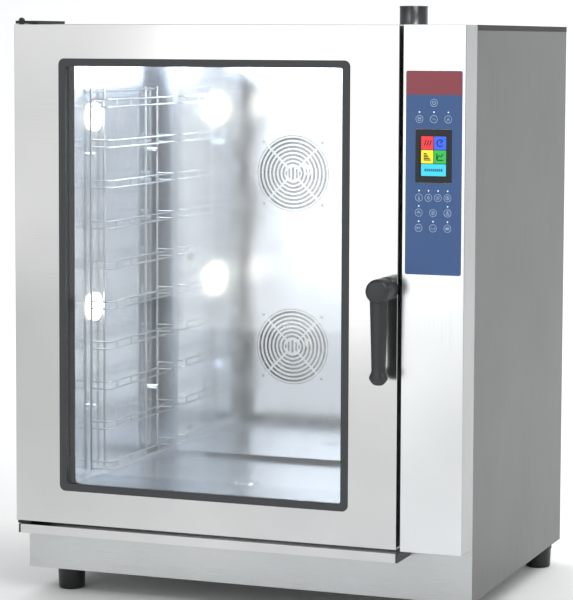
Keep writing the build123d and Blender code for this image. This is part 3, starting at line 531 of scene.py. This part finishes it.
def tray_racks():
    """Bent wire runners with their ties, set out level by level, on posts with a top bar. The wires are
    drawn thinner than the CAD's solids."""
    for side in ("left", "right"):
        node = "tray_rack_" + side
        lo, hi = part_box(node)
        wall, inner = (lo.x, hi.x) if side == "left" else (hi.x, lo.x)
        inward = 1 if side == "left" else -1
        post, wire, rise, pitch, bend = 4 * MM, 2.5 * MM, 14.5 * MM, 82 * MM, 12 * MM
        drawn_post, drawn_wire, drawn_tie = 2.8 * MM, 1.8 * MM, 1.3 * MM
        tie_inset, tie_pitch, front_gap, rear_gap = 33 * MM, 70 * MM, 63 * MM, 61 * MM
        post_x, run_x = wall + inward * post, inner - inward * wire
        first = lo.z + 4 * MM
        y0, y1 = lo.y + post, hi.y - post
        runs = []
        for up in (0, rise):
            angles = [pi / 2 * i / 6 for i in range(7)]
            corner = [(run_x - inward * bend * (1 - sin(a)), bend * (1 - cos(a))) for a in angles]
            front = [(x, y0 + y, first + up) for x, y in corner]
            rear = [(x, y1 - y, first + up) for x, y in reversed(corner)]
            runs.append([(post_x, y0, first + up), *front, *rear, (post_x, y1, first + up)])
        runners = wires(runs, drawn_wire, 8, LEVELS, (0, 0, pitch))
        tie_places = [y0 + tie_inset + tie_pitch * i for i in range(5)]
        ties = [[(run_x, y, first), (run_x, y, first + rise)] for y in tie_places]
        tie_wires = wires(ties, drawn_tie, 6, LEVELS, (0, 0, pitch))
        posts = [[(post_x, y, lo.z), (post_x, y, hi.z)] for y in (y0, y0 + front_gap, y1 - rear_gap, y1)]
        bar = [[(post_x, y0, hi.z - 6 * MM), (post_x, y1, hi.z - 6 * MM)]]
        rack = joined([runners, tie_wires, wires(posts, drawn_post, 12), wires(bar, drawn_wire, 10)])
        piece = piece_from(node + "_wires", rack, "wire", "cabinet")
        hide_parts(node)


# ---- fans ---------------------------------------------------------------------------------
BLADES = 24
RIM = 94 * MM
BLADE_FROM, BLADE_TO = RIM - 24 * MM, RIM - 2.4 * MM
BLADE_SWEEP = 20  # degrees


def blade_skin(front, back):
    """One blade, bent 20 degrees round the wheel's axis from its inner to its outer edge."""
    half = 0.8 * MM
    section = []
    for i in range(7):
        reach = BLADE_FROM + (BLADE_TO - BLADE_FROM) * i / 6
        lean = radians(BLADE_SWEEP * (i / 6 - 0.5))
        section.append((reach * cos(lean), reach * sin(lean)))
    return lofted([[(x - half, y, z) for x, z in section] + [(x + half, y, z) for x, z in reversed(section)]
                   for y in (front + 2 * MM, back - 1 * MM)])


def fan_wheels():
    """Back plate and hub, a front ring, and curved blades set out in a circle."""
    for level in ("upper", "lower"):
        node = "fan_wheel_" + level
        lo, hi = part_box(node)
        middle = Vector(((lo.x + hi.x) / 2, 0, (lo.z + hi.z) / 2))
        liner_back = LINER_HI.y - 1.2 * MM
        back, front = liner_back - 22 * MM, liner_back - 66 * MM
        plate = lathed([(8 * MM, back), (RIM, back), (RIM, back - 2 * MM), (19 * MM, back - 2 * MM),
                        (16 * MM, front + 14 * MM), (8 * MM, front + 14 * MM)], middle, "Y", 64)
        ring = arc(0, 0, RIM, 0, 360, steps=64)
        shroud = moved(wires([ring], 1.2 * MM, 8, finish="turned_steel"),
                       middle + Vector((0, front + 1.5 * MM, 0)))
        blades = moved(copies(blade_skin(front, back), BLADES, turn=(0, 2 * pi / BLADES, 0)), middle)
        shaft = lathed([(7 * MM, front + 6 * MM), (8 * MM, front + 7 * MM), (8 * MM, hi.y)], middle, "Y", 24)
        nut = lofted([hexagon(12 * MM, y) for y in (front + 6.5 * MM, front + 13.5 * MM)])
        wheel = joined([plate, shroud, blades, shaft, moved(nut, middle)])
        piece = piece_from(node + "_welded", wheel, "turned_steel", "fan_" + level)
        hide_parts(node)


# ---- door handle --------------------------------------------------------------------------
def oval(x, y, z, width, depth, steps=28, power=0.75):
    """A flattened oval ring: a section of the lever."""
    ring = []
    for i in range(steps):
        a = 2 * pi * i / steps
        c, s = cos(a), sin(a)
        ring.append((x + width / 2 * abs(c) ** power * (1 if c > 0 else -1),
                     y + depth / 2 * abs(s) ** power * (1 if s > 0 else -1), z))
    return ring


def door_handle():
    """Moulded lever: a round hub on the door, a tapered arm that hangs down, and a flared tip."""
    cap_lo, cap_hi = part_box("handle_cap")
    lever_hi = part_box("handle_lever")[1]
    x, z = (cap_lo.x + cap_hi.x) / 2, (cap_lo.z + cap_hi.z) / 2
    front, back, r = cap_lo.y + 0.4 * MM, lever_hi.y, lever_hi.z - z
    hub = lathed([(r - 5 * MM, front), (r - 2 * MM, front + 0.8 * MM), (r - 0.6 * MM, front + 2.2 * MM),
                  (r, front + 4.5 * MM), (r, front + 30 * MM), (r - 1.5 * MM, back - 12 * MM),
                  (r, back - 8 * MM), (r, back)], (x, 0, z), "Y", 64)
    # Each section's drop below the hub, width and depth, in millimetres: the taper, then the flared tip.
    taper = [(0, 36, 23), (30, 34, 22), (60, 32, 21.5), (100, 29.5, 20.5), (140, 27, 19.5),
             (150, 26.5, 19.5)]
    tip = [(155, 30, 21), (160, 34.5, 23), (163, 35.5, 23.5), (166, 34, 23), (171, 27, 20), (175, 19, 15),
           (176.6, 11, 9)]
    middle = front + 15 * MM
    arm = lofted([oval(x, middle, z - drop * MM, w * MM, d * MM) for drop, w, d in taper + tip])
    lever = piece_from("handle_lever_moulded", joined([hub, arm]), "nylon", "handle")
    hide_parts("handle_lever")
    seam = 0.3 * MM
    rim = cap_hi.x - x
    disc = lathed([(rim - 3 * MM, cap_lo.y), (rim - 1 * MM, cap_lo.y + 0.3 * MM), (rim, cap_lo.y + 1.2 * MM),
                   (rim, cap_hi.y - seam)], (x, 0, z), "Y", 64)
    cover = piece_from("handle_cap_moulded", disc, "nylon", "handle")
    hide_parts("handle_cap")


# ---- control panel ------------------------------------------------------------------------
PROUD = 0.12 * MM
INK = 0.32 * MM
KEY_RING = 6.9
HEADER_HIGH = 44.5 * MM
OVERLAY_CORNER = 3.9 * MM


def glyphs():
    """Line drawings for the keys, in millimetres round each key's centre, as runs of (x, z) points."""
    def turn(radius, start, end, x=0.0, z=0.0):
        return flat_arc(x, z, radius, start, end)

    def box(width, height, x=0.0, z=0.0):
        w, h = width / 2, height / 2
        return [(x - w, z - h), (x + w, z - h), (x + w, z + h), (x - w, z + h), (x - w, z - h)]

    drop = [(0, 3.4), (-1.6, 0.4), *turn(1.9, 160, 380, 0, -0.8), (1.6, 0.4), (0, 3.4)]
    return {
        "key_power": [turn(3.2, 120, 420), [(0, 0.6), (0, 4)]],
        "key_upper_left": [box(5.6, 5.6), [(-2.8, 0.6), (2.8, 0.6)]],
        "key_upper_middle": [[(-3.4, 0), (-1, 1.2), (1, -1.2), (3.4, 0)]],
        "key_upper_right": [[(-2.4, -3), (0, 3.4), (2.4, -3)], [(-1.6, -0.8), (1.6, -0.8)]],
        "key_row_one_1": [[(0, 3.6), (0, -1)], turn(1.4, 0, 360, 0, -2.3)],
        "key_row_one_2": [drop],
        "key_row_one_3": [[(-3, -3), (3, 3)], [(-3, 0.4), (-0.4, 3)], [(0.4, -3), (3, -0.4)]],
        "key_row_one_4": [turn(3, 0, 360), [(0, 0), (0, 2.2)], [(0, 0), (1.7, -1)]],
        "key_row_two_left": [turn(2.6, 0, 180, 0, -0.6), [(-3.4, -0.6), (3.4, -0.6)], [(0, 2), (0, 3.4)]],
        "key_row_two_middle": [box(4.4, 6), [(-1.2, 1.2), (1.2, 1.2)], [(-1.2, -0.6), (1.2, -0.6)]],
        "key_row_two_right": [turn(1.3, 0, 360, 0, 2.2), turn(2.9, 0, 180, 0, -3.2),
                              [(-2.9, -3.2), (2.9, -3.2)]],
        "key_row_three_left": [[(-3.2, 3), (-3.2, -3)], [(-3.2, 0), (2.6, 0)],
                               [(1, 1.6), (2.8, 0), (1, -1.6)]],
        "key_row_three_middle": [[(-3.6, 1.4), (-2.8, -1.4), (2.8, -1.4), (3.6, 1.4)]],
        "key_row_three_right": [box(6, 4), [(-1, -2), (-1, 2)], [(1, -2), (1, 2)], [(-3, 0), (3, 0)]],
    }


def printed_lines(runs, x, y, z, radius=INK, finish="pale_ink"):
    """Flat printed lines, a hair proud of the face at y."""
    placed = [[(x + px * MM, 0.0, z + pz * MM) for px, pz in run] for run in runs]
    mesh = wires(placed, radius, 6, finish=finish)
    mesh.transform(Matrix.Translation((0, y, 0)) @ Matrix.Diagonal((1, 0.3, 1, 1)))
    return mesh


def key_prints():
    """A ring and a line drawing on each key."""
    drawings = glyphs()
    for node in KEYS:
        lo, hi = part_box(node)
        x, z = (lo.x + hi.x) / 2, (lo.z + hi.z) / 2
        ring = flat_arc(0, 0, KEY_RING, 0, 360, steps=40)
        mesh = printed_lines([ring, *drawings[node]], x, lo.y, z)
        piece_from(node + "_print", mesh, "pale_ink", node)


def panel_prints():
    """The overlay's red header and the small lamps above the keys."""
    left, right, top = OVERLAY_LO.x, OVERLAY_HI.x, OVERLAY_HI.z
    corner = OVERLAY_CORNER
    outline = [(right, top - HEADER_HIGH), *flat_arc(right - corner, top - corner, corner, 0, 90),
               *flat_arc(left + corner, top - corner, corner, 90, 180), (left, top - HEADER_HIGH)]
    sheet = plates([outline], OVERLAY_LO.y - PROUD, OVERLAY_LO.y + PROUD)
    piece_from("overlay_header", sheet, "red_foil", "cabinet")
    lamps = []
    for node in KEYS:
        if node in ("key_power", "key_row_two_middle"):
            continue
        lo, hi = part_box(node)
        up = 5 * MM if "upper" in node or "one" in node else 4.4 * MM
        place = ((lo.x + hi.x) / 2, 0, hi.z + up)
        lamps.append(lathed([(1.3 * MM, OVERLAY_LO.y + PROUD), (1.3 * MM, OVERLAY_LO.y - PROUD),
                             (0.8 * MM, OVERLAY_LO.y - 3 * PROUD)], place, "Y", 14))
    piece_from("indicator_lamps", joined(lamps), "led", "cabinet")


def display_tiles():
    """The display's picture: four square tiles with simple signs, and a wide one under them."""
    lo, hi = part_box("display_bezel")
    x, z = (lo.x + hi.x) / 2, (lo.z + hi.z) / 2
    side, tall, wide, low = 23.2 * MM, 24.4 * MM, 48 * MM, 22 * MM
    left, right = x - 12.4 * MM, x + 12.4 * MM
    top, mid, bottom = z + 24.4 * MM, z - 1.4 * MM, z - 26 * MM
    tiles = {"red": (left, top, side, tall), "blue": (right, top, side, tall),
             "yellow": (left, mid, side, tall), "green": (right, mid, side, tall),
             "cyan": (x, bottom, wide, low)}
    for colour, (tx, tz, w, h) in tiles.items():
        tile = plates([rounded_rectangle(tx, tz, w, h, 1 * MM)], SCREEN_FACE - PROUD, SCREEN_FACE + PROUD)
        piece_from("display_tile_" + colour, tile, "tile_" + colour, "cabinet")
    signs = [
        (left, top, [[(-6 + 5 * k, -5), (-2 + 5 * k, 5)] for k in range(3)]),
        (right, top, [flat_arc(0, 0, 6, 40, 320), [(0, 0), (5, 4)]]),
        (left, mid, [[(-7, -6 + 3 * k), (7 - 2 * k, -6 + 3 * k)] for k in range(5)]),
        (right, mid, [[(-6, -6), (-6, 6)], [(-6, -6), (6, -6)], [(-6, -3), (-1, 3), (2, 0), (6, 6)]]),
        (x, bottom, [[(-16 + 4 * k, -2.5), (-16 + 4 * k, 2.5)] for k in range(9)]),
    ]
    marks = [printed_lines(runs, sx, SCREEN_FACE - PROUD, sz, 1.2 * MM, "panel_off")
             for sx, sz, runs in signs]
    piece_from("display_signs", joined(marks), "panel_off", "cabinet")


# ---- feet, chimney, gland and fasteners -----------------------------------------------------
def threaded(radius, low, high, pitch=1.75):
    """The profile of a screw thread, drawn as rings a pitch apart."""
    turns = int((high - low) / (pitch * MM))
    profile = [(radius - 1 * MM, low)]
    for i in range(turns):
        profile += [(radius, low + (i + 0.3) * pitch * MM), (radius, low + (i + 0.45) * pitch * MM),
                    (radius - 0.9 * MM, low + (i + 0.8) * pitch * MM)]
    return [*profile, (radius - 1 * MM, high)]


def levelling_feet():
    """Moulded feet on threaded studs: a smooth body that narrows to a rounded sole, and a collar."""
    for place in ("front_left", "front_right", "rear_left", "rear_right"):
        node = "foot_" + place
        lo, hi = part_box(node)
        x, y, broad = (lo.x + hi.x) / 2, (lo.y + hi.y) / 2, (hi.x - lo.x) / 2
        stud = lathed(threaded(5.9 * MM, 46.5 * MM, hi.z - lo.z), (x, y, lo.z), steps=20)
        body = lathed([(broad - 7 * MM, 0), (broad - 4 * MM, 0.8 * MM), (broad - 2.6 * MM, 3 * MM),
                       (broad - 1.2 * MM, 38 * MM), (broad - 1 * MM, 39 * MM), (broad, 40 * MM),
                       (broad, 45.5 * MM), (broad - 1.2 * MM, 46.8 * MM)], (x, y, lo.z), steps=56)
        piece = piece_from(node + "_moulded", joined([stud, body]), "foot", node)
        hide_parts(node)


def chimney():
    """Vent pipe with a rolled bead at its mouth and a weld bead where it leaves the roof."""
    lo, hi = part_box("vent_pipe")
    x, y, r, wall = (lo.x + hi.x) / 2, (lo.y + hi.y) / 2, (hi.x - lo.x) / 2, 1.5 * MM
    inside = [(r - wall, lo.z), (r - wall, hi.z - 1.5 * MM)]
    mouth = [(r - wall / 2, hi.z), (r, hi.z - 1 * MM), (r, hi.z - 3 * MM), (r - 0.5 * MM, hi.z - 4.5 * MM)]
    weld = [(r - 0.5 * MM, ROOF_TOP + 4 * MM), (r, ROOF_TOP + 2.5 * MM), (r, ROOF_TOP + 1 * MM)]
    below = [(r - 0.4 * MM, ROOF_TOP), (r - 0.4 * MM, lo.z)]
    pipe = lathed(inside + mouth + weld + below, (x, y, 0), steps=72, tube=True)
    pipe = piece_from("vent_pipe_beaded", pipe, "vent_steel", "cabinet")
    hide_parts("vent_pipe")


def gland():
    """Cable gland: a hexagon against the rear panel, and a domed nut with a fluted edge."""
    lo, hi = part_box("cable_gland")
    x, z, r = (lo.x + hi.x) / 2, (lo.z + hi.z) / 2, (hi.z - lo.z) / 2
    wall, hole, flutes = REAR_FACE, 6 * MM, 16
    middle = Vector((x, 0, z))
    collar = moved(lofted([hexagon(r, y) for y in (wall, wall + 5 * MM)]), middle)
    dome = lathed([(hole, wall + 4 * MM), (r - 1.2 * MM, wall + 4 * MM), (r - 1.2 * MM, hi.y - 6 * MM),
                   (r - 3 * MM, hi.y - 2 * MM), (hole + 1.5 * MM, hi.y), (hole, hi.y - 0.5 * MM)],
                  middle, "Y", 40, tube=True)
    inlet = lathed([(hole, lo.y), (hole + 3 * MM, lo.y), (hole + 3 * MM, wall), (hole, wall)],
                   middle, "Y", 32, tube=True)
    flute = lofted([[(r - 2 * MM, y, -0.8 * MM), (r - 0.6 * MM, y, -0.4 * MM), (r - 0.6 * MM, y, 0.4 * MM),
                     (r - 2 * MM, y, 0.8 * MM)] for y in (wall + 6 * MM, hi.y - 6.5 * MM)])
    grip = moved(copies(flute, flutes, turn=(0, 2 * pi / flutes, 0), finish="nylon"), middle)
    made = joined([collar, dome, inlet, grip])
    piece = piece_from("cable_gland_fluted", made, "nylon", "cabinet")
    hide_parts("cable_gland")


def cross_recess_screw(radius, high):
    """A pan head that rises along +Y from a panel, with a cross-shaped recess."""
    def circle(r, y):
        return [(r * cos(pi * i / 16), y, r * sin(pi * i / 16)) for i in range(32)]

    def cross(r, y):
        lobes = [(0.55 + 0.45 * cos(4 * pi * i / 16)) * r for i in range(32)]
        return [(lobe * cos(pi * i / 16), y, lobe * sin(pi * i / 16)) for i, lobe in enumerate(lobes)]

    head = [(0.92, 0), (1, 0.15), (0.96, 0.55), (0.75, 0.9), (0.58, 1)]
    recess = [(0.52, 1), (0.4, 0.35)]
    return lofted([circle(radius * across, high * up) for across, up in head]
                  + [cross(radius * across, high * up) for across, up in recess])


def rear_screws():
    """Two rows of cross-recess screws hold the rear panel."""
    lo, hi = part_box("panel_screws")
    r, high = 4 * MM, hi.y - lo.y
    count = 6
    rows = []
    pitch = (hi.z - lo.z - 2 * r) / (count - 1)
    for x in (lo.x + r, hi.x - r):
        row = copies(cross_recess_screw(r, high), count, step=(0, 0, pitch))
        rows.append(moved(row, (x, lo.y, lo.z + r)))
    piece = piece_from("panel_screws_recessed", joined(rows), "turned_steel", "cabinet")
    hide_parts("panel_screws")


def folded_sheets():
    """Folded edges have a bend radius near the sheet's thickness; moulded and rubber edges are softer."""
    softened("door_skin", 1.2 * MM, "door_sheet", "door")
    softened("door_inner_panel", 0.8 * MM, "door_sheet", "door")
    softened("drip_tray", 0.5 * MM, "door_sheet", "cabinet")
    column = softened("control_column", 1.2 * MM, "column_sheet flank_sheet", "cabinet")
    # Faces that point along X, the column's sides, take the darker copy with painted shade.
    for face in column.data.polygons:
        face.material_index = 1 if abs(face.normal.x) > 0.5 else 0
    softened("window_seal", 0.9 * MM, "seal", "door")
    softened("door_gasket", 0.8 * MM, "seal", "cabinet")
    for side in ("left_side_panel", "right_side_panel", "roof_panel", "front_frame", "base_pan"):
        # Side panels take the darker stainless with painted shade; the other sheets take the plain base
        # stainless.
        finish = "side_sheet" if "side" in side else "base_sheet"
        softened(side, 0.5 * MM, finish, "cabinet")
    softened("display_bezel", 0.5 * MM, "bezel", "cabinet")
    softened("drip_tray_caps", 0.4 * MM, "nylon", "cabinet")


# ---- camera, floor and lights -------------------------------------------------------------
def camera():
    """A long lens from the right of the front, a little above the oven's middle, looking slightly down.
    Its turn, tilt and roll are in radians."""
    data = bpy.data.cameras.new("camera")
    data.sensor_width = 36.0
    data.lens = 147.71
    data.shift_y = -0.1
    made = bpy.data.objects.new("camera", data)
    turn, tilt, roll = 0.36136, 0.08138, 0.00398
    ahead = Vector((-sin(turn) * cos(tilt), cos(turn) * cos(tilt), -sin(tilt)))
    right = Vector((cos(turn), sin(turn), 0))
    up = right.cross(ahead)
    across = right * cos(roll) + up * sin(roll)
    upright = up * cos(roll) - right * sin(roll)
    basis = Matrix((across, upright, -ahead)).transposed()
    made.matrix_world = Matrix.Translation((1.76708, -4.72177, 1.12165)) @ basis.to_4x4()
    STAGE.collection.objects.link(made)
    STAGE.camera = made


def soft_light(name, place, aim, width, height, watts, colour="#ffffff"):
    data = bpy.data.lights.new(name, "AREA")
    data.shape = "RECTANGLE"
    data.size, data.size_y = width, height
    data.energy = watts
    data.color = hex_colour(colour)[:3]
    made = bpy.data.objects.new(name, data)
    made.location = place
    made.rotation_euler = (Vector(aim) - Vector(place)).to_track_quat("-Z", "Y").to_euler()
    STAGE.collection.objects.link(made)


def studio():
    world = bpy.data.worlds.new("studio")
    STAGE.world = world
    world.use_nodes = True
    world.node_tree.nodes["Background"].inputs[0].default_value = hex_colour("#eef0f2")
    world.node_tree.nodes["Background"].inputs[1].default_value = 0.52
    mesh = bpy.data.meshes.new("floor")
    near, turn_in, sweep, high, half = -12.0, 4.0, 3.0, 9.0, 16.0
    curve = [(near, 0.0)]
    for i in range(17):
        a = pi / 2 * i / 16
        curve.append((turn_in + sweep * sin(a), sweep - sweep * cos(a)))
    curve.append((turn_in + sweep, high))
    points = [(x, y, z) for y, z in curve for x in (-half, half)]
    mesh.from_pydata(points, [], [(2 * i, 2 * i + 1, 2 * i + 3, 2 * i + 2) for i in range(len(curve) - 1)])
    mesh.shade_smooth()
    floor = bpy.data.objects.new("floor", mesh)
    made, tree = new_material("pale_floor")
    shader = add(tree, "ShaderNodeBsdfPrincipled", {"Base Color": hex_colour("#f2f2f2"), "Roughness": 0.7})
    add(tree, "ShaderNodeOutputMaterial", {"Surface": shader.outputs[0]})
    mesh.materials.append(made)
    STAGE.collection.objects.link(floor)
    soft_light("wall_left", (-3.1, -4.9, 1.3), (-1.0, 0, 1.1), 2.2, 2.5, 11)
    soft_light("wall_front", (-1.25, -4.75, 1.25), (-0.6, 0, 1.1), 1.5, 2.5, 17)
    soft_light("softbox_high", (1.9, -2.6, 2.9), (0.6, -1.0, 0), 1.6, 1.6, 50)
    soft_light("softbox_right", (3.4, -3.4, 2.8), (0.6, -0.4, 0.1), 2.0, 2.4, 30)
    soft_light("floor_wash", (0, 3.0, 4.4), (0, 3.4, 0), 12.0, 5.0, 330)
    middle = (LINER_LO.x + LINER_HI.x) / 2
    mouth, ceiling, sole = LINER_LO.y + 0.05, LINER_HI.z - 0.03, LINER_LO.z + 0.03
    half_way = (ceiling + sole) / 2
    soft_light("chamber_top", (middle, mouth + 0.1, ceiling), (middle, mouth + 0.3, sole),
               0.5, 0.16, 8, "#eef4ff")
    soft_light("chamber_side", (middle + 0.29, mouth - 0.03, half_way),
               (LINER_LO.x, mouth + 0.25, half_way), 0.04, 0.75, 3, "#fff8ea")
    STAGE.view_settings.view_transform = "Standard"


dress_all()
folded_sheets()
tray_racks()
fan_wheels()
door_handle()
key_prints()
panel_prints()
display_tiles()
levelling_feet()
chimney()
gland()
rear_screws()
camera()
studio()
